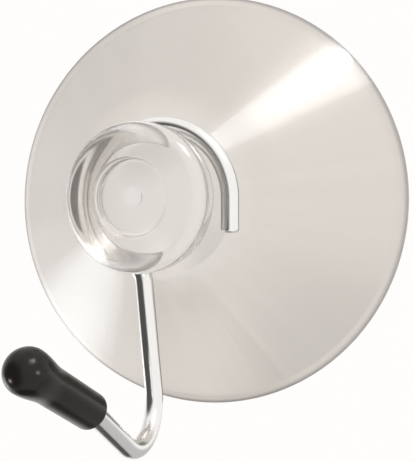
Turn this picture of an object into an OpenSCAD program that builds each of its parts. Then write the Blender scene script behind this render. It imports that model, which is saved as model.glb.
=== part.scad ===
// Suction cup hook: a clear moulded cup, a bent wire hook that turns on its neck, and a rubber tip cap.
// The wall is the plane y = 0, the cup's axis is Y with its head towards -Y, and Z is up.

/* [Suction cup] */
// Diameter of the cup at its rim
cup_d = 64; // [54:1:80]
// Width of the flat land that seals against the wall
land_w = 1.4; // [0.8:0.1:2.4]
// Height of the rim's outer edge above the wall
rim_t = 1.1; // [0.8:0.1:2]
// Thickness of the skirt where it joins the body
root_t = 2.6; // [1.8:0.1:3.6]
// Diameter at which the cone of the hollow turns into its dome
dome_d = 32; // [24:1:40]
// Distance from the wall to the shoulder that carries the wire ring
shoulder_h = 17.8; // [14:0.2:22]
// Diameter of the shoulder
shoulder_d = 21.4; // [20:0.2:26]
// Rounding where the shoulder turns into the skirt
shoulder_round = 1.2; // [0.4:0.1:1.6]

/* [Neck and head] */
// Diameter of the neck inside the wire ring
neck_d = 14.2; // [12:0.2:15]
// Fillet at each end of the neck
neck_fillet = 0.6; // [0.2:0.1:0.9]
// Diameter of the mushroom head
head_d = 19.2; // [18.2:0.2:24]
// Height of the cone under the head
flare_h = 2.4; // [1.6:0.2:4]
// Height of the straight band round the head
band_h = 2.4; // [1.2:0.1:4]
// Rounding of the head's front edge
head_round = 1.8; // [0.6:0.1:2.4]
// Diameter of the recess in the head's front face
recess_d = 9.8; // [5:0.2:12]
// Depth of that recess
recess_h = 1.1; // [0.6:0.1:2]

/* [Wire hook] */
// Diameter of the wire
wire_d = 2.4; // [1.8:0.1:3]
// Gap between the wire ring and the neck where the two are on one centre
ring_gap = 1.4; // [1.2:0.05:1.6]
// Sideways shift of the ring's centre from the neck's, as the loose ring hangs
ring_shift = 0.85; // [0:0.05:1]
// Gap between the wire ring and the shoulder
seat_gap = 0.2; // [0.1:0.05:0.4]
// Angle above level at which the ring runs out into its free end
ring_open = 0; // [0:1:30]
// Turn of the ring round the neck
ring_turn = 244.5; // [225:0.5:250]
// Length of the straight free end of the ring
tail_len = 4.4; // [2:0.2:9]
// Centre-line radius of the bend from the ring into the leg
leg_bend_r = 2.6; // [2:0.1:4]
// Sideways lean of the leg from upright
leg_lean = 5.4; // [0:0.2:10]
// Length of the straight leg
leg_len = 14.6; // [8:0.2:24]
// Centre-line radius of the bend at the foot of the hook
hook_r = 5.9; // [3.5:0.1:9]
// Rise of the arm above level
arm_rise = 39.5; // [20:0.5:60]
// Length of the bare arm
arm_len = 8.8; // [3:0.2:12]
// Angle by which the arm dips again before its cap
arm_dip = 8.2; // [4:0.2:20]
// Centre-line radius of that dip
dip_r = 8; // [4:0.5:20]
// Bevel on both cut ends of the wire
wire_bevel = 0.3; // [0.1:0.05:0.5]

/* [Tip cap] */
// Diameter of the cap's sleeve
cap_d = 4.2; // [3.8:0.1:6]
// Diameter of the sleeve just before the bulb
waist_d = 4.05; // [3.7:0.05:5.5]
// Diameter of the bulb on the cap's end
bulb_d = 4.8; // [4.4:0.1:7]
// Length of the cap
cap_len = 15.6; // [14:0.2:26]
// Length of the swell from the sleeve to the widest part of the bulb
swell_len = 4.2; // [2:0.1:6]
// Length of wire inside the cap
wire_in_cap = 11.5; // [8:0.5:20]
// Rounding of the cap's open edge
cap_round = 0.35; // [0.1:0.05:0.6]
// Gap between the wire and the bore of the cap
cap_fit = 0.02; // [0.01:0.01:0.05]

/* [Hidden] */
$fn = 72;

// Radii and heights of the cup, each height measured forwards from the wall
cup_r = cup_d / 2;
shoulder_r = shoulder_d / 2;
neck_r = neck_d / 2;
head_r = head_d / 2;
recess_r = recess_d / 2;
flare_start = shoulder_h + seat_gap + wire_d;
band_start = flare_start + flare_h;
head_front = band_start + band_h + head_round;

// Small roundings of the moulding
rim_round = 0.4;
land_round = 0.25;
under_head_round = 0.9;
recess_fillet = 0.7;
recess_edge = 0.3;

// The hollow's cone runs from the inner edge of the land to a point under the shoulder
land_r = cup_r - rim_round - land_w;
skirt_run = cup_r - shoulder_r;
skirt_slope = atan2(shoulder_h - rim_t, skirt_run);
root_r = shoulder_r - root_t * sin(skirt_slope);
root_h = shoulder_h - root_t * cos(skirt_slope);
hollow_slope = atan2(root_h, land_r - root_r);
dome_start_r = dome_d / 2;
dome_start_h = (land_r - dome_start_r) * tan(hollow_slope);
dome_r = dome_start_r / sin(hollow_slope);
dome_centre_h = dome_start_h - dome_r * cos(hollow_slope);
dome_steps = 12;

// Centre line of the wire
ring_r = neck_r + ring_gap + wire_d / 2;
ring_h = shoulder_h + seat_gap + wire_d / 2;
leg_turn = ring_open + ring_turn - 180 - leg_lean;
hook_turn = 90 + arm_rise;

// Bending leaves the wire very slightly fatter, and each straight runs a little way into the bends beside it
straight_d = wire_d - 0.02;
run_in = 0.1;
ring_link = 0.4;

// The bore ends a little past the wire's end, and the bulb's centre lies one radius from the tip
bore_len = wire_in_cap + cap_fit;
bulb_r = bulb_d / 2;
bulb_centre = cap_len - bulb_r;
swell_steps = 10;
bulb_steps = 12;

function unit(v) = v / norm(v);

// Points of the arc of radius r that rounds the corner b between a and c
function corner_arc(a, b, c, r, steps = 8) =
    let (
        u = unit(a - b),
        v = unit(c - b),
        half = acos(u * v) / 2,
        centre = b + unit(u + v) * r / sin(half),
        from = b + u * r / tan(half) - centre,
        to = b + v * r / tan(half) - centre,
        sweep = 180 - 2 * half
    )
    [for (i = [0:steps]) centre + (from * sin((1 - i / steps) * sweep) + to * sin(i / steps * sweep)) / sin(sweep)];

// Outline with each corner [x, y, radius] rounded by its own radius, and left sharp where that is 0
function rounded(corners) = [
    for (i = [0:len(corners) - 1])
        let (
            here = corners[i],
            before = corners[max(i - 1, 0)],
            after = corners[min(i + 1, len(corners) - 1)]
        )
        each here[2] == 0
            ? [[here[0], here[1]]]
            : corner_arc([before[0], before[1]], [here[0], here[1]], [after[0], after[1]], here[2])
];

// Turns a shape drawn on the wall, with its height along Z, to face forwards
module facing_forwards() {
    rotate([90, 0, 0]) children();
}

module suction_cup() {
    outside = rounded([
        [0, head_front - recess_h, 0],
        [recess_r, head_front - recess_h, recess_fillet],
        [recess_r, head_front, recess_edge],
        [head_r, head_front, head_round],
        [head_r, band_start, under_head_round],
        [neck_r, flare_start, neck_fillet],
        [neck_r, shoulder_h, neck_fillet],
        [shoulder_r, shoulder_h, shoulder_round],
        [cup_r, rim_t, rim_round],
        [cup_r, 0, rim_round],
        [land_r, 0, land_round],
        [dome_start_r, dome_start_h, 0]
    ]);
    dome = [
        for (i = [1:dome_steps])
            let (tilt = hollow_slope * (1 - i / dome_steps))
            [dome_r * sin(tilt), dome_centre_h + dome_r * cos(tilt)]
    ];
    color([0.86, 0.84, 0.82, 0.55])
    facing_forwards()
    rotate_extrude()
    polygon(concat(outside, dome));
}

// Straight length of wire along Z, run into the bends at its two ends, with what follows it placed at its end
module straight(length, solid) {
    if (solid)
        translate([0, 0, -run_in])
        cylinder(h = length + 2 * run_in, d = straight_d);
    translate([0, 0, length]) children();
}

// Bend of the wire from Z towards X, with what follows it placed at its end
module bend(radius, angle, solid) {
    if (solid)
        translate([radius, 0, 0])
        rotate([90, 0, 0])
        rotate([0, 0, 180 - angle])
        rotate_extrude(angle = angle)
        translate([radius, 0])
        circle(d = wire_d);
    translate([radius * (1 - cos(angle)), 0, radius * sin(angle)])
    rotate([0, angle, 0])
    children();
}

// Last straight of the wire, run into the bend before it, with a bevelled cut end
module free_end(length) {
    rotate_extrude()
    polygon([
        [0, -run_in],
        [straight_d / 2, -run_in],
        [straight_d / 2, length - wire_bevel],
        [straight_d / 2 - wire_bevel, length],
        [0, length]
    ]);
}

// The wire from the ring's end down the leg, round the foot and up the arm, to where the cap starts
module hook_route(solid) {
    translate([ring_shift, 0, 0])
    rotate([0, 0, ring_open + ring_turn])
    translate([ring_r, 0, ring_h])
    rotate([-90, 0, 0])
    straight(ring_link, solid)
    bend(leg_bend_r, leg_turn, solid)
    straight(leg_len, solid)
    rotate([0, 0, -90])
    bend(hook_r, hook_turn, solid)
    straight(arm_len, solid)
    rotate([0, 0, 180])
    bend(dip_r, arm_dip, solid)
    children();
}

// The open ring round the neck, with its straight free end
module neck_ring() {
    translate([ring_shift, 0, 0])
    rotate([0, 0, ring_open])
    translate([0, 0, ring_h]) {
        rotate_extrude(angle = ring_turn)
        translate([ring_r, 0])
        circle(d = wire_d);
        translate([ring_r, 0, 0])
        rotate([90, 0, 0])
        free_end(tail_len);
    }
}

module wire_hook() {
    color("silver")
    facing_forwards() {
        neck_ring();
        hook_route(true)
        free_end(wire_in_cap);
    }
}

module tip_cap() {
    bore_r = wire_d / 2 + cap_fit;
    sleeve = rounded([
        [bore_r, 0, 0],
        [cap_d / 2, 0, cap_round],
        [waist_d / 2, bulb_centre - swell_len, 0]
    ]);
    swell = [
        for (i = [1:swell_steps])
            let (rise = (1 - cos(180 * i / swell_steps)) / 2)
            [(waist_d + (bulb_d - waist_d) * rise) / 2, bulb_centre - swell_len * (1 - i / swell_steps)]
    ];
    bulb = [
        for (i = [1:bulb_steps])
            let (climb = 90 * i / bulb_steps)
            [bulb_r * cos(climb), bulb_centre + bulb_r * sin(climb)]
    ];
    bore = [[0, bore_len], [bore_r, bore_len]];
    color([0.13, 0.12, 0.11])
    facing_forwards()
    hook_route(false)
    rotate_extrude()
    polygon(concat(sleeve, swell, bulb, bore));
}

suction_cup();
wire_hook();
tip_cap();
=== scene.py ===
import math

import bpy
import numpy as np
from mathutils import Matrix


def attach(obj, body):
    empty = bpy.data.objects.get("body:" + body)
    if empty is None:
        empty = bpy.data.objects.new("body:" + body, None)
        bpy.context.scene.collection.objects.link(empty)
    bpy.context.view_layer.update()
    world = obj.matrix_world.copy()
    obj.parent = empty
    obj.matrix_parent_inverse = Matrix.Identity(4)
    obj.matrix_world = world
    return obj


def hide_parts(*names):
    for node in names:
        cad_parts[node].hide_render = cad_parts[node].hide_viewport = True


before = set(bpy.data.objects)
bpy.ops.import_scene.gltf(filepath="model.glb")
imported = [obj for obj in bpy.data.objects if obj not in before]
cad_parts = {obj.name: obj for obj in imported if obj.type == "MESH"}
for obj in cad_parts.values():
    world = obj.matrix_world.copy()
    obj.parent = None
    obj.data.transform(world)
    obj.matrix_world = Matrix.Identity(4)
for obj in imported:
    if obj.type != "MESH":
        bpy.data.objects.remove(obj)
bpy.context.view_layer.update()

# Suction cup hook: a clear moulded cup, a plated wire hook that turns on its neck, and a rubber tip cap.
# The wall is the plane y = 0, the cup's axis is Y with its head towards -Y, and Z is up.
# Sizes are in millimetres, and a mesh is written in metres.
MM = 0.001

# Suction cup
cup_r = 32.0
land_w = 1.4
rim_t = 1.1
root_t = 2.6
dome_start_r = 16.0
shoulder_h = 17.8
shoulder_r = 10.7
shoulder_round = 1.2
neck_r = 7.1
neck_fillet = 0.6
head_r = 9.6
flare_h = 2.4
band_h = 2.4
head_round = 1.8
under_head_round = 0.9
recess_r = 4.9
recess_h = 1.1
recess_fillet = 0.7
recess_edge = 0.3
rim_round = 0.4
land_round = 0.25

# Gate mark in the recess, a low round relief whose side leans out a little
gate_r = 1.15
gate_h = 0.12
gate_lean = 0.12
gate_round = 0.15
gate_fillet = 0.1

# Wire hook
wire_d = 2.4
ring_gap = 1.4
ring_shift = 0.85
seat_gap = 0.2
ring_open = 0.0
ring_turn = 244.5
tail_len = 4.4
ring_link = 0.4
leg_bend_r = 2.6
leg_lean = 5.4
leg_len = 14.6
hook_r = 5.9
arm_rise = 39.5
arm_len = 8.8
arm_dip = 8.2
dip_r = 8.0
wire_bevel = 0.3

# Bevel on the wire's ends: how far along the wire and how far in from its side, in bevels
bevel_points = ((0.0, 1.0), (0.1, 0.72), (1.0, 0.0))
bevel_clear = 1.2

# Tip cap
cap_r = 2.1
waist_r = 2.025
bulb_r = 2.4
cap_len = 15.6
swell_len = 4.2
wire_in_cap = 11.5
cap_round = 0.35
cap_fit = 0.02
bore_chamfer = 0.1

# Fineness of the meshes: points round a piece, the longest step along it, and steps on its curves
cup_sides = 256
cup_step = 0.8
dome_steps = 32
wire_sides = 48
wire_step = 0.35
cap_sides = 96
cap_step = 0.5
swell_steps = 24
bulb_steps = 32
floor_sides = 96

# Heights measured forwards from the wall
flare_start = shoulder_h + seat_gap + wire_d
band_start = flare_start + flare_h
head_front = band_start + band_h + head_round
recess_floor = head_front - recess_h
ring_h = shoulder_h + seat_gap + wire_d / 2
ring_r = neck_r + ring_gap + wire_d / 2

# Where the vinyl's looks change, from where a change starts to where it is full: first by the distance
# from the cup's axis, then by the height in front of the wall
skirt_reach = (10.2, 13.0)
# Painted shade: reach of the darker band along the rim
rim_shade_reach = (cup_r - 0.9, cup_r - 0.25)
# Painted highlight: reach of the lightest spot at the gate mark
gate_highlight_reach = (1.9, 0.5)
below_head_reach = (11.4, 9.8)
head_height = (15.0, 20.5)
# Painted highlight: heights of the lightest spot at the gate mark
gate_highlight_height = (recess_floor - 1.0, recess_floor - 0.5)
below_head_height = (band_start + 0.6, band_start - 0.8)

# Colours of the materials
skirt_grey = (0.715, 0.675, 0.635, 1.0)
skirt_pale = (0.775, 0.735, 0.695, 1.0)
head_tint = (0.91, 0.892, 0.868, 1.0)
# Painted highlight at the gate mark: the vinyl coloured near white
gate_painted_highlight = (1.0, 0.995, 0.985, 1.0)
# Painted shade along the rim: the vinyl coloured darker
rim_painted_shade = (0.40, 0.375, 0.355, 1.0)
passed_light = (0.86, 0.845, 0.83, 1.0)
plate_grey = (0.87, 0.862, 0.84, 1.0)
plate_pale = (0.94, 0.932, 0.915, 1.0)
rubber_black = (0.012, 0.0095, 0.0076, 1.0)
rubber_worn = (0.019, 0.0155, 0.0128, 1.0)
floor_grey = (0.80, 0.79, 0.78, 1.0)

# Light: the white of the surroundings, the glare in it, the lamps' colour, the level that plain surfaces
# get, and the place that the lamps face
warm_white = (1.0, 0.985, 0.975, 1.0)
glare_white = (3.75, 3.95, 4.0, 1.0)
lamp_colour = (1.0, 0.995, 0.985)
plain_level = 0.55
cup_middle = (0, -12.0, 0)

# Zones of the surroundings that are darker or brighter than the rest, each as the bearing and the height
# angle of its middle, the angle from there within which it is full, the angle at which it ends, and its
# level. They act on what a gloss mirrors, on what is seen through the vinyl, and on what is seen through it
# where a gloss mirrored the light first.
gloss_zones = (
    (-42, -6, 34, 62, 0.08),
    (-104, 36, 6, 26, 0.7),
    (-108, -12, 3, 11, 1.32),
    (-118, -80, 20, 31, 0.1),
    (150, -45, 24, 38, 0.56),
)
vinyl_zones = (
    (65, 26, 10, 26, 1.6),
    (-172, -14, 3, 12, 0.84),
    (-154, 14, 3, 12, 0.86),
    (-160, -14, 2, 8, 1.15),
    (36, -14, 16, 36, 1.3),
    (-142, -49, 18, 30, 1.3),
)
mirrored_zones = (
    (80, -50, 24, 38, 0.04),
    (136, -42, 14, 26, 0.1),
    (-5, 63, 10, 22, 0.3),
    (-135, -2, 7, 15, 0.15),
    (168, 2, 14, 22, 0.15),
    (-80, -8, 24, 40, 0.05),
    (-40, 1, 6, 14, 0.1),
)
glare_zone = (-99, -29, 2, 17, 0.0)

# Floor: its distance below the cup's axis, the radii of its rings, and where its plain middle starts to
# fade and is gone, with the share of white that it has at each
floor_drop = 340.0
floor_radii = (150.0, 300.0, 500.0, 800.0, 1600.0)
floor_fade = (180.0, 420.0)
floor_white = (0.5, 1.0)

# Camera, as the photograph was taken
camera_place = (35.805, -103.986, -2.205)
camera_right = (0.94856213, 0.31659097, -0.00019005)
camera_up = (-0.00699813, 0.02156777, 0.9997429)
camera_back = (0.31651367, -0.94831692, 0.02267391)
camera_lens = 53.5
camera_sensor = 36.0
camera_near = 5.0
camera_far = 20000.0


def on_sphere(bearing, height):
    """Unit direction at a bearing round Z (0 towards -Y, 90 towards +X) and an angle above level, both in
    degrees."""
    b, h = math.radians(bearing), math.radians(height)
    return np.array([math.sin(b) * math.cos(h), -math.cos(b) * math.cos(h), math.sin(h)])


def set_up(piece, right, up, back, place):
    """Puts a lamp or camera at a place in millimetres, with its own X, Y and Z along right, up and back."""
    turn = np.eye(4)
    turn[:3, :3] = np.stack([right, up, back], -1)
    turn[:3, 3] = np.array(place) * MM
    piece.matrix_world = Matrix(turn)


def new_mesh(name, places, faces, uv=None):
    """Mesh object from an (n, 3) array in millimetres and a list of face arrays, each (m, corners), with a
    UV map where uv gives an (n, 2) array."""
    mesh = bpy.data.meshes.new(name)
    corners = np.concatenate([f.ravel() for f in faces]).astype(np.int32)
    sizes = np.concatenate([np.full(len(f), f.shape[1]) for f in faces]).astype(np.int32)
    starts = np.concatenate([[0], np.cumsum(sizes)[:-1]]).astype(np.int32)
    mesh.vertices.add(len(places))
    mesh.vertices.foreach_set("co", (places * MM).astype(np.float32).ravel())
    mesh.loops.add(len(corners))
    mesh.loops.foreach_set("vertex_index", corners)
    mesh.polygons.add(len(sizes))
    mesh.polygons.foreach_set("loop_start", starts)
    mesh.polygons.foreach_set("use_smooth", np.full(len(sizes), True))
    if uv is not None:
        layer = mesh.uv_layers.new(name="along")
        layer.data.foreach_set("uv", uv[corners].astype(np.float32).ravel())
    mesh.update(calc_edges=True)
    mesh.validate()
    piece = bpy.data.objects.new(name, mesh)
    bpy.context.scene.collection.objects.link(piece)
    return piece


def corner_arc(before, corner, after, radius, steps=10):
    """Arc that rounds a corner: its centre lies on the corner's bisector, radius / sin(half angle) away, and
    the points swing evenly from the tangent point on one side to the tangent point on the other."""
    u = (before - corner) / np.linalg.norm(before - corner)
    v = (after - corner) / np.linalg.norm(after - corner)
    half = math.acos(float(u @ v)) / 2
    centre = corner + (u + v) / np.linalg.norm(u + v) * radius / math.sin(half)
    start = corner + u * radius / math.tan(half) - centre
    end = corner + v * radius / math.tan(half) - centre
    sweep = math.pi - 2 * half
    t = np.linspace(0, 1, steps + 1)[:, None]
    return centre + (start * np.sin((1 - t) * sweep) + end * np.sin(t * sweep)) / math.sin(sweep)


def rounded(corners):
    """Outline through corners (x, y, radius), each rounded by its own radius or left sharp at radius 0."""
    points = np.array([c[:2] for c in corners], float)
    last = len(points) - 1
    parts = []
    for i, (_, _, radius) in enumerate(corners):
        if radius == 0:
            parts.append(points[i:i + 1])
        else:
            before, after = points[max(i - 1, 0)], points[min(i + 1, last)]
            parts.append(corner_arc(before, points[i], after, radius))
    return np.concatenate(parts)


def filled(outline, step):
    """The same outline with points no further apart than step, spaced evenly on each of its lines."""
    steps = np.maximum(np.ceil(np.linalg.norm(np.diff(outline, axis=0), axis=1) / step).astype(int), 1)
    line = np.repeat(np.arange(len(steps)), steps)
    within = np.arange(len(line)) - np.repeat(np.cumsum(steps) - steps, steps)
    t = (within / steps[line])[:, None]
    return np.concatenate([outline[line] * (1 - t) + outline[line + 1] * t, outline[-1:]])


def distances(points):
    """Distance of each point from the first, measured along the line through them."""
    return np.concatenate([[0], np.cumsum(np.linalg.norm(np.diff(points, axis=0), axis=1))])


def grid_faces(rings, sides):
    """Quads between neighbouring rings of a closed tube, ring i and side j at index i * sides + j."""
    i, j = np.meshgrid(np.arange(rings - 1), np.arange(sides), indexing="ij")
    k = (j + 1) % sides
    this, following = i * sides, (i + 1) * sides
    return np.stack([this + j, this + k, following + k, following + j], -1).reshape(-1, 4)


def fan(centre, ring):
    """Triangles from one centre point to a ring of points."""
    return np.stack([np.full(len(ring), centre), np.roll(ring, -1), ring], -1)


def closed_tube(rings, sides):
    """Quads of a tube and a fan at each of its ends, whose centre points are the last two points."""
    n = rings * sides
    return [
        grid_faces(rings, sides),
        fan(n, np.arange(sides)),
        fan(n + 1, np.arange(n - sides, n))[:, ::-1],
    ]


def revolved(name, outline, sides, frame_at):
    """Surface (x cos a, x sin a, y) of an outline (x, y) that starts and ends on the axis x = 0, turned
    round Z and then placed by frame_at = (origin, 3 x 3 matrix whose columns are the piece's own X, Y
    and Z)."""
    inner = outline[1:-1]
    a = np.linspace(0, 2 * math.pi, sides, endpoint=False)
    places = np.stack([
        inner[:, :1] * np.cos(a),
        inner[:, :1] * np.sin(a),
        np.repeat(inner[:, 1:], sides, axis=1),
    ], -1).reshape(-1, 3)
    places = np.concatenate([places, [[0, 0, outline[0, 1]], [0, 0, outline[-1, 1]]]])
    faces = closed_tube(len(inner), sides)
    along = distances(outline)
    uv = np.stack([np.repeat(along[1:-1], sides), np.tile(a, len(inner))], -1)
    uv = np.concatenate([uv, [[along[0], 0], [along[-1], 0]]])
    # The outline's own turning sense tells which way its faces point
    x, y = outline[:, 0], outline[:, 1]
    if np.sum(x[:-1] * y[1:] - x[1:] * y[:-1]) < 0:
        faces = [f[:, ::-1] for f in faces]
    origin, axes = frame_at
    return new_mesh(name, origin + places @ axes.T, faces, uv)


# Cup
skirt_slope = math.atan2(shoulder_h - rim_t, cup_r - shoulder_r)
land_r = cup_r - rim_round - land_w
root_r = shoulder_r - root_t * math.sin(skirt_slope)
root_h = shoulder_h - root_t * math.cos(skirt_slope)
hollow_slope = math.atan2(root_h, land_r - root_r)
dome_start_h = (land_r - dome_start_r) * math.tan(hollow_slope)
dome_r = dome_start_r / math.sin(hollow_slope)
dome_centre_h = dome_start_h - dome_r * math.cos(hollow_slope)

# Axes of a piece whose height is measured forwards from the wall: its X is X, its Y is Z and its Z is -Y
forwards = (np.zeros(3), np.array([[1.0, 0, 0], [0, 0, -1.0], [0, 1.0, 0]]))


def cup_outline():
    """Half section of the cup: recess with a gate mark, head, neck, shoulder, straight skirt, rim, land, and
    the hollow's cone that turns into a dome along an arc of one radius."""
    outside = rounded([
        (0, recess_floor + gate_h, 0),
        (gate_r, recess_floor + gate_h, gate_round),
        (gate_r + gate_lean, recess_floor, gate_fillet),
        (recess_r, recess_floor, recess_fillet),
        (recess_r, head_front, recess_edge),
        (head_r, head_front, head_round),
        (head_r, band_start, under_head_round),
        (neck_r, flare_start, neck_fillet),
        (neck_r, shoulder_h, neck_fillet),
        (shoulder_r, shoulder_h, shoulder_round),
        (cup_r, rim_t, rim_round),
        (cup_r, 0, rim_round),
        (land_r, 0, land_round),
        (dome_start_r, dome_start_h, 0),
    ])
    tilt = np.linspace(hollow_slope, 0, dome_steps + 1)[1:]
    dome = np.stack([dome_r * np.sin(tilt), dome_centre_h + dome_r * np.cos(tilt)], -1)
    return filled(np.concatenate([outside, dome]), cup_step)


# Wire
def roll(angle):
    """Matrix that turns a frame round its own Z by an angle in degrees."""
    c, s = math.cos(math.radians(angle)), math.sin(math.radians(angle))
    return np.array([[c, -s, 0], [s, c, 0], [0, 0, 1.0]])


def pitch(angle):
    """Matrix that turns a frame round its own Y by an angle in degrees, its Z towards its X."""
    c, s = math.cos(math.radians(angle)), math.sin(math.radians(angle))
    return np.array([[c, 0, s], [0, 1.0, 0], [-s, 0, c]])


def wire_route():
    """Centre line of the wire from the ring's free end to the end inside the cap, as steps of a bending
    machine: feed a length, bend by a radius and an angle towards the frame's X, or roll the frame round the
    wire. The step named cap marks where the cap starts."""
    leg_turn = ring_open + ring_turn - 180 - leg_lean
    return [
        ("feed", tail_len, 0),
        ("roll", 180, 0),
        ("bend", ring_r, ring_turn),
        ("roll", 180, 0),
        ("feed", ring_link, 0),
        ("bend", leg_bend_r, leg_turn),
        ("feed", leg_len, 0),
        ("roll", -90, 0),
        ("bend", hook_r, 90 + arm_rise),
        ("feed", arm_len, 0),
        ("roll", 180, 0),
        ("bend", dip_r, arm_dip),
        ("cap", 0, 0),
        ("feed", wire_in_cap, 0),
    ]


def bent_wire(step):
    """Points on the route, at each the wire's own X and Y, turned back by the rolls so that the sides of the
    tube never twist, and the place and axes of the cap. A bend's points are
    P + R (r (1 - cos t), 0, r sin t), with t from 0 to its angle."""
    turn = forwards[1] @ roll(ring_open)
    place = np.array([ring_shift, 0, 0]) + turn @ np.array([ring_r, -tail_len, ring_h])
    turn = turn @ np.array([[1.0, 0, 0], [0, 0, 1.0], [0, -1.0, 0]])
    points, sides, ups = [], [], []
    rolled = 0.0
    cap_at = None
    for kind, size, angle in wire_route():
        if kind == "roll":
            turn = turn @ roll(size)
            rolled += size
            continue
        if kind == "cap":
            cap_at = (place.copy(), turn.copy())
            continue
        length = size if kind == "feed" else size * math.radians(angle)
        t = np.linspace(0, 1, max(int(math.ceil(length / step)), 1) + 1)
        if kind == "feed":
            bends = np.zeros(len(t))
            offsets = np.stack([0 * t, 0 * t, t * size], -1)
        else:
            bends = np.radians(angle) * t
            offsets = np.stack([size * (1 - np.cos(bends)), 0 * t, size * np.sin(bends)], -1)
        zero = 0 * bends
        own_x = np.stack([np.cos(bends), zero, -np.sin(bends)], -1) @ turn.T
        own_y = np.stack([zero, zero + 1, zero], -1) @ turn.T
        back = math.radians(-rolled)
        first = 1 if points else 0
        points.append((place + offsets @ turn.T)[first:])
        sides.append((own_x * math.cos(back) + own_y * math.sin(back))[first:])
        ups.append((own_y * math.cos(back) - own_x * math.sin(back))[first:])
        place = place + turn @ offsets[-1]
        if kind == "bend":
            turn = turn @ pitch(angle)
    return np.concatenate(points), np.concatenate(sides), np.concatenate(ups), cap_at


def swept_wire(name, sides):
    """Tube P + r (cos a S + sin a U) round the wire's route. Its radius r shrinks at each bevelled end."""
    points, side, up, cap_at = bent_wire(wire_step)
    along = distances(points)
    start, end = points[1] - points[0], points[-1] - points[-2]
    start, end = start / np.linalg.norm(start), end / np.linalg.norm(end)
    bevel = np.array(bevel_points) * wire_bevel
    lead = points[0] + bevel[:, :1] * start
    trail = points[-1] - bevel[::-1, :1] * end
    keep = (along > wire_bevel * bevel_clear) & (along < along[-1] - wire_bevel * bevel_clear)
    n = len(bevel)
    points = np.concatenate([lead, points[keep], trail])
    side = np.concatenate([np.repeat(side[:1], n, 0), side[keep], np.repeat(side[-1:], n, 0)])
    up = np.concatenate([np.repeat(up[:1], n, 0), up[keep], np.repeat(up[-1:], n, 0)])
    inset = np.concatenate([bevel[:, 1], np.zeros(np.count_nonzero(keep)), bevel[::-1, 1]])
    radius = wire_d / 2 - inset
    distance = np.concatenate([bevel[:, 0], along[keep], along[-1] - bevel[::-1, 0]])
    a = np.linspace(0, 2 * math.pi, sides, endpoint=False)
    ring = np.cos(a)[None, :, None] * side[:, None] + np.sin(a)[None, :, None] * up[:, None]
    places = (points[:, None] + radius[:, None, None] * ring).reshape(-1, 3)
    places = np.concatenate([places, points[:1], points[-1:]])
    uv = np.stack([np.repeat(distance, sides), np.tile(a, len(points))], -1)
    uv = np.concatenate([uv, [[0, 0], [distance[-1], 0]]])
    return new_mesh(name, places, closed_tube(len(points), sides), uv), cap_at


# Cap
def cap_outline():
    """Half section of the cap: bore, open edge, sleeve, a swell that rises along half a cosine, and a round
    bulb."""
    bore_r = wire_d / 2 + cap_fit
    bore_end = wire_in_cap + cap_fit
    bore = np.array([[0, bore_end], [bore_r - bore_chamfer, bore_end], [bore_r, bore_end - bore_chamfer]])
    bulb_centre = cap_len - bulb_r
    sleeve = rounded([
        (bore_r, 0, 0),
        (cap_r, 0, cap_round),
        (waist_r, bulb_centre - swell_len, 0),
    ])
    t = np.linspace(0, 1, swell_steps + 1)[1:]
    rise = (1 - np.cos(math.pi * t)) / 2
    swell = np.stack([waist_r + (bulb_r - waist_r) * rise, bulb_centre - swell_len * (1 - t)], -1)
    climb = np.linspace(0, math.pi / 2, bulb_steps + 1)[1:]
    bulb = np.stack([bulb_r * np.cos(climb), bulb_centre + bulb_r * np.sin(climb)], -1)
    bulb[-1, 0] = 0
    return filled(np.concatenate([bore, sleeve, swell, bulb]), cap_step)


# Node helpers
def add_node(tree, kind, inputs=None, **settings):
    """A node of that kind, with its settings made and its inputs set to a value or joined to a socket."""
    made = tree.nodes.new(kind)
    for key, value in settings.items():
        setattr(made, key, value)
    for key, value in (inputs or {}).items():
        if isinstance(value, bpy.types.NodeSocket):
            tree.links.new(value, made.inputs[key])
        else:
            made.inputs[key].default_value = value
    return made


def sum_of(tree, operation, *values):
    """A number worked out from values or sockets by that operation."""
    return add_node(tree, "ShaderNodeMath", dict(enumerate(values)), operation=operation).outputs["Value"]


def vector_sum(tree, operation, output, *values):
    """The named output of that operation on vectors."""
    made = add_node(tree, "ShaderNodeVectorMath", dict(enumerate(values)), operation=operation)
    return made.outputs[output]


def span(tree, value, low, high, start=0.0, end=1.0, way="LINEAR"):
    """A number that goes from low, where the value is at start, to high, where it is at end."""
    return add_node(tree, "ShaderNodeMapRange", {
        "Value": value, "From Min": start, "From Max": end, "To Min": low, "To Max": high,
    }, interpolation_type=way).outputs["Result"]


def eased(tree, value, start, end, low=0.0, high=1.0):
    """The same with a gentle start and end."""
    return span(tree, value, low, high, start, end, "SMOOTHSTEP")


def mixed(tree, share, first, second):
    """Colour between two colours, by the second one's share."""
    return add_node(tree, "ShaderNodeMix", {
        "Factor": share, "A": first, "B": second,
    }, data_type="RGBA").outputs["Result"]


def blended(tree, share, first, second):
    """Surface or light between two others, by the second one's share."""
    return add_node(tree, "ShaderNodeMixShader", {0: share, 1: first, 2: second}).outputs["Shader"]


def bumped(tree, relief, strength, depth):
    """Direction of a surface with that relief, its depth in metres."""
    return add_node(tree, "ShaderNodeBump", {
        "Height": relief, "Strength": strength, "Distance": depth,
    }).outputs["Normal"]


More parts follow.
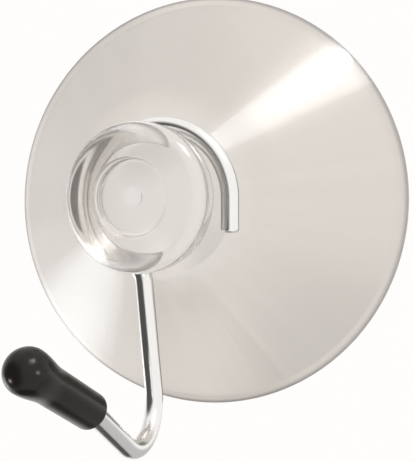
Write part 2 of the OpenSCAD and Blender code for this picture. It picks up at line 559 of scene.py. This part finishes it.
def marks_group():
    """Shared effect: soft clouds and fine grain from two noises of the given vector, both 0 to 1."""
    group = bpy.data.node_groups.new("moulding_marks", "ShaderNodeTree")
    for label, kind, way in (
        ("Vector", "NodeSocketVector", "INPUT"),
        ("Cloud Scale", "NodeSocketFloat", "INPUT"),
        ("Grain Scale", "NodeSocketFloat", "INPUT"),
        ("Cloud", "NodeSocketFloat", "OUTPUT"),
        ("Grain", "NodeSocketFloat", "OUTPUT"),
    ):
        group.interface.new_socket(name=label, in_out=way, socket_type=kind)
    entry = add_node(group, "NodeGroupInput").outputs
    cloud = add_node(group, "ShaderNodeTexNoise", {
        "Vector": entry["Vector"], "Scale": entry["Cloud Scale"], "Detail": 3.0, "Roughness": 0.5,
    })
    grain = add_node(group, "ShaderNodeTexNoise", {
        "Vector": entry["Vector"], "Scale": entry["Grain Scale"], "Detail": 4.0, "Roughness": 0.6,
    })
    add_node(group, "NodeGroupOutput", {"Cloud": cloud.outputs["Fac"], "Grain": grain.outputs["Fac"]})
    return group


def placed_marks(tree, group, vector, cloud_scale, grain_scale):
    """The shared marks at this material's own scales."""
    made = tree.nodes.new("ShaderNodeGroup")
    made.node_tree = group
    tree.links.new(vector, made.inputs["Vector"])
    made.inputs["Cloud Scale"].default_value = cloud_scale
    made.inputs["Grain Scale"].default_value = grain_scale
    return made.outputs["Cloud"], made.outputs["Grain"]


def new_material(name):
    """Empty node material, its tree, and the input for its surface."""
    material = bpy.data.materials.new(name)
    material.use_nodes = True
    tree = material.node_tree
    tree.nodes.clear()
    return material, tree, tree.nodes.new("ShaderNodeOutputMaterial").inputs["Surface"]


def clear_vinyl(group):
    """Soft clear vinyl: tinted warm grey and lighter in the thick head, with a painted highlight that makes
    the gate mark lightest and painted shade that darkens the rim, a haze that is stronger under the head,
    faint streaks that run outwards on the skirt, and lamp light that passes through it."""
    material, tree, surface = new_material("clear_vinyl")
    where = add_node(tree, "ShaderNodeTexCoord").outputs["Object"]
    cloud, grain = placed_marks(tree, group, where, cloud_scale=45.0, grain_scale=900.0)
    outwards = vector_sum(tree, "MULTIPLY", "Vector", where, (1.0, 0.0, 1.0))
    bearing = vector_sum(tree, "NORMALIZE", "Vector", outwards)
    reach = vector_sum(tree, "LENGTH", "Value", outwards)
    depth = add_node(tree, "ShaderNodeSeparateXYZ", {0: where}).outputs["Y"]

    def by_reach(start, end):
        """0 to 1 between two distances from the axis."""
        return eased(tree, reach, start * MM, end * MM)

    def by_height(start, end, way="SMOOTHSTEP"):
        """0 to 1 between two heights in front of the wall."""
        return span(tree, depth, 0.0, 1.0, -start * MM, -end * MM, way)

    streaks = add_node(tree, "ShaderNodeTexNoise", {
        "Vector": bearing, "Scale": 7.0, "Detail": 5.0, "Roughness": 0.62,
    }).outputs["Fac"]
    streak = sum_of(tree, "MULTIPLY", streaks, by_reach(*skirt_reach))
    # Mask of the painted highlight at the gate mark
    painted_highlight_at_gate = sum_of(tree, "MULTIPLY", by_height(*gate_highlight_height, "LINEAR"), by_reach(*gate_highlight_reach))
    below_head = sum_of(tree, "MULTIPLY", by_height(*below_head_height), by_reach(*below_head_reach))
    # The vinyl's tint, with painted highlight and painted shade mixed in below
    tint_and_painted_light = mixed(tree, streaks, skirt_grey, skirt_pale)
    tint_and_painted_light = mixed(tree, by_height(*head_height), tint_and_painted_light, head_tint)
    # Painted highlight at the gate mark
    tint_and_painted_light = mixed(tree, painted_highlight_at_gate, tint_and_painted_light, gate_painted_highlight)
    # Painted shade along the rim
    tint_and_painted_light = mixed(tree, by_reach(*rim_shade_reach), tint_and_painted_light, rim_painted_shade)
    haze = sum_of(tree, "ADD", cloud, streak)
    haze = span(tree, haze, low=0.07, high=0.19, start=0.3, end=1.3)
    relief = sum_of(tree, "MULTIPLY_ADD", streak, 12.0, grain)
    body = add_node(tree, "ShaderNodeBsdfPrincipled", {
        "Base Color": tint_and_painted_light,
        "Roughness": sum_of(tree, "MULTIPLY_ADD", below_head, 0.09, haze),
        "IOR": 1.5,
        "Transmission Weight": 0.9,
        "Normal": bumped(tree, relief, strength=0.10, depth=0.00003),
    }).outputs["BSDF"]
    lamp_light = add_node(tree, "ShaderNodeBsdfTransparent", {"Color": passed_light}).outputs["BSDF"]
    path = add_node(tree, "ShaderNodeLightPath")
    tree.links.new(blended(tree, path.outputs["Is Shadow Ray"], body, lamp_light), surface)
    return material


def plated_wire(group):
    """Bright plated steel with fine drawing lines along the wire, read from the piece's own UV map."""
    material, tree, surface = new_material("plated_wire")
    along = add_node(tree, "ShaderNodeUVMap", uv_map="along").outputs["UV"]
    stretched = add_node(tree, "ShaderNodeMapping", {"Vector": along, "Scale": (0.12, 3.0, 1.0)})
    stretched = stretched.outputs["Vector"]
    cloud, grain = placed_marks(tree, group, stretched, cloud_scale=1.0, grain_scale=6.0)
    body = add_node(tree, "ShaderNodeBsdfPrincipled", {
        "Base Color": mixed(tree, cloud, plate_grey, plate_pale),
        "Metallic": 1.0,
        "Roughness": span(tree, grain, low=0.14, high=0.26),
        "Normal": bumped(tree, grain, strength=0.06, depth=0.00003),
    })
    tree.links.new(body.outputs["BSDF"], surface)
    return material


def black_rubber(group):
    """Satin black rubber with a fine grain, slightly greyer where it has been handled."""
    material, tree, surface = new_material("black_rubber")
    where = add_node(tree, "ShaderNodeTexCoord").outputs["Object"]
    cloud, grain = placed_marks(tree, group, where, cloud_scale=260.0, grain_scale=4200.0)
    body = add_node(tree, "ShaderNodeBsdfPrincipled", {
        "Base Color": mixed(tree, cloud, rubber_black, rubber_worn),
        "Roughness": span(tree, cloud, low=0.17, high=0.27),
        "IOR": 1.5,
        "Specular IOR Level": 0.26,
        "Normal": bumped(tree, grain, strength=0.12, depth=0.00006),
    })
    tree.links.new(body.outputs["BSDF"], surface)
    return material


# Pieces
marks_tree = marks_group()
vinyl = clear_vinyl(marks_tree)
metal = plated_wire(marks_tree)
rubber = black_rubber(marks_tree)

cup = revolved("clear_cup", cup_outline(), cup_sides, forwards)
cup.data.materials.append(vinyl)
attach(cup, "cup")
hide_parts("suction_cup")

hook, cap_at = swept_wire("bent_wire", wire_sides)
hook.data.materials.append(metal)
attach(hook, "hook")
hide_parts("wire_hook")

cap = revolved("rubber_tip", cap_outline(), cap_sides, cap_at)
cap.data.materials.append(rubber)
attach(cap, "hook")
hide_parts("tip_cap")


# Floor
def floor():
    """Pale round floor well below the hook. Near its middle it is half plain surface, so it shows the
    object's shadow, and further out it turns into the white of the background. It isn't seen in gloss or
    through the vinyl."""
    a = np.linspace(0, 2 * math.pi, floor_sides, endpoint=False)
    radii = np.array(floor_radii)[:, None]
    rings = len(radii)
    places = np.stack([
        radii * np.cos(a), radii * np.sin(a), np.full((rings, floor_sides), -floor_drop),
    ], -1).reshape(-1, 3)
    places = np.concatenate([places, [[0, 0, -floor_drop]]])
    middle = fan(rings * floor_sides, np.arange(floor_sides))
    piece = new_mesh("floor", places, [grid_faces(rings, floor_sides)[:, ::-1], middle[:, ::-1]])
    material, tree, surface = new_material("floor_white")
    where = add_node(tree, "ShaderNodeTexCoord").outputs["Object"]
    flat = vector_sum(tree, "MULTIPLY", "Vector", where, (1.0, 1.0, 0.0))
    reach = vector_sum(tree, "LENGTH", "Value", flat)
    start, end = floor_fade
    fade = eased(tree, reach, start * MM, end * MM, *floor_white)
    plain = add_node(tree, "ShaderNodeBsdfDiffuse", {"Color": floor_grey}).outputs["BSDF"]
    white = add_node(tree, "ShaderNodeEmission", {"Color": warm_white, "Strength": 1.0}).outputs["Emission"]
    path = add_node(tree, "ShaderNodeLightPath").outputs
    seen = sum_of(tree, "MAXIMUM", path["Is Camera Ray"], path["Is Transmission Ray"])
    share = sum_of(tree, "MULTIPLY", fade, seen)
    tree.links.new(blended(tree, share, plain, white), surface)
    piece.data.materials.append(material)
    piece.visible_glossy = False
    piece.visible_transmission = False


floor()


# Light
def softbox(name, bearing, height, distance, wide, tall, radiance):
    """Area lamp at a bearing and height angle, turned to the cup's middle. Its face is evenly bright, with
    that radiance."""
    lamp = bpy.data.lights.new(name, "AREA")
    lamp.shape = "RECTANGLE"
    lamp.size, lamp.size_y = wide * MM, tall * MM
    lamp.energy = radiance * math.pi * lamp.size * lamp.size_y
    lamp.color = lamp_colour
    piece = bpy.data.objects.new(name, lamp)
    bpy.context.scene.collection.objects.link(piece)
    back = on_sphere(bearing, height)
    right = np.cross([0, 0, 1.0], back)
    right /= np.linalg.norm(right)
    set_up(piece, right, np.cross(back, right), back, np.array(cup_middle) + back * distance)
    piece.visible_camera = False
    return piece


def only_on(lamp, piece):
    """Keeps a lamp's light to one piece, as a small shaded lamp beside it would."""
    lit = bpy.data.collections.new(lamp.name + "_lights")
    lit.objects.link(piece)
    lamp.light_linking.receiver_collection = lit


softbox("key_softbox", bearing=62, height=53, distance=600, wide=250, tall=190, radiance=5.6)
softbox("key_spark", bearing=73, height=56, distance=600, wide=84, tall=44, radiance=20.0)
only_on(softbox("low_spark", bearing=-50, height=-27, distance=330, wide=28, tall=20, radiance=68.0), cap)
only_on(softbox("side_spark", bearing=74, height=0, distance=400, wide=60, tall=44, radiance=24.0), cap)


def zone(tree, way, bearing, height, inside, outside, level):
    """Number that is level within an angle of a direction and goes smoothly to 1 at a wider angle."""
    facing = vector_sum(tree, "DOT_PRODUCT", "Value", way, tuple(on_sphere(bearing, height)))
    start, end = math.cos(math.radians(outside)), math.cos(math.radians(inside))
    return eased(tree, facing, start, end, 1.0, level)


def zones(tree, way, settings):
    """Product of several zones."""
    made = [zone(tree, way, *each) for each in settings]
    product = made[0]
    for each in made[1:]:
        product = sum_of(tree, "MULTIPLY", product, each)
    return product


def surround():
    """White world for the camera. Gloss mirrors the same white with its own zones and one glare, and the
    view through the vinyl has others. The zones for light that a gloss mirrored first act by
    (zones - 1) * bounced + 1, where bounced is 1 for such light and 0 for the rest. Plain surfaces get an
    even, lower light."""
    world = bpy.data.worlds.new("studio")
    bpy.context.scene.world = world
    world.use_nodes = True
    tree = world.node_tree
    tree.nodes.clear()
    out = tree.nodes.new("ShaderNodeOutputWorld")
    way = add_node(tree, "ShaderNodeTexCoord").outputs["Generated"]
    path = add_node(tree, "ShaderNodeLightPath").outputs

    def light(colour, strength):
        """Light of the surroundings in a colour."""
        return add_node(tree, "ShaderNodeBackground", {
            "Color": colour, "Strength": strength,
        }).outputs["Background"]

    glare = mixed(tree, zone(tree, way, *glare_zone), glare_white, warm_white)
    mirrored = light(glare, zones(tree, way, gloss_zones))
    drop = sum_of(tree, "SUBTRACT", zones(tree, way, mirrored_zones), 1.0)
    bounced = sum_of(tree, "MINIMUM", path["Glossy Depth"], 1.0)
    kept = sum_of(tree, "MULTIPLY_ADD", drop, bounced, 1.0)
    through = light(warm_white, sum_of(tree, "MULTIPLY", zones(tree, way, vinyl_zones), kept))
    shiny = sum_of(tree, "MAXIMUM", path["Is Glossy Ray"], path["Is Transmission Ray"])
    around = blended(tree, path["Is Transmission Ray"], mirrored, through)
    around = blended(tree, shiny, light(warm_white, plain_level), around)
    around = blended(tree, path["Is Camera Ray"], around, light(warm_white, 1.0))
    tree.links.new(around, out.inputs["Surface"])


surround()
bpy.context.scene.view_settings.view_transform = "Standard"

# Camera
lens = bpy.data.cameras.new("camera")
lens.lens = camera_lens
lens.sensor_width = camera_sensor
lens.clip_start = camera_near * MM
lens.clip_end = camera_far * MM
camera = bpy.data.objects.new("camera", lens)
bpy.context.scene.collection.objects.link(camera)
set_up(camera, camera_right, camera_up, camera_back, camera_place)
bpy.context.scene.camera = camera
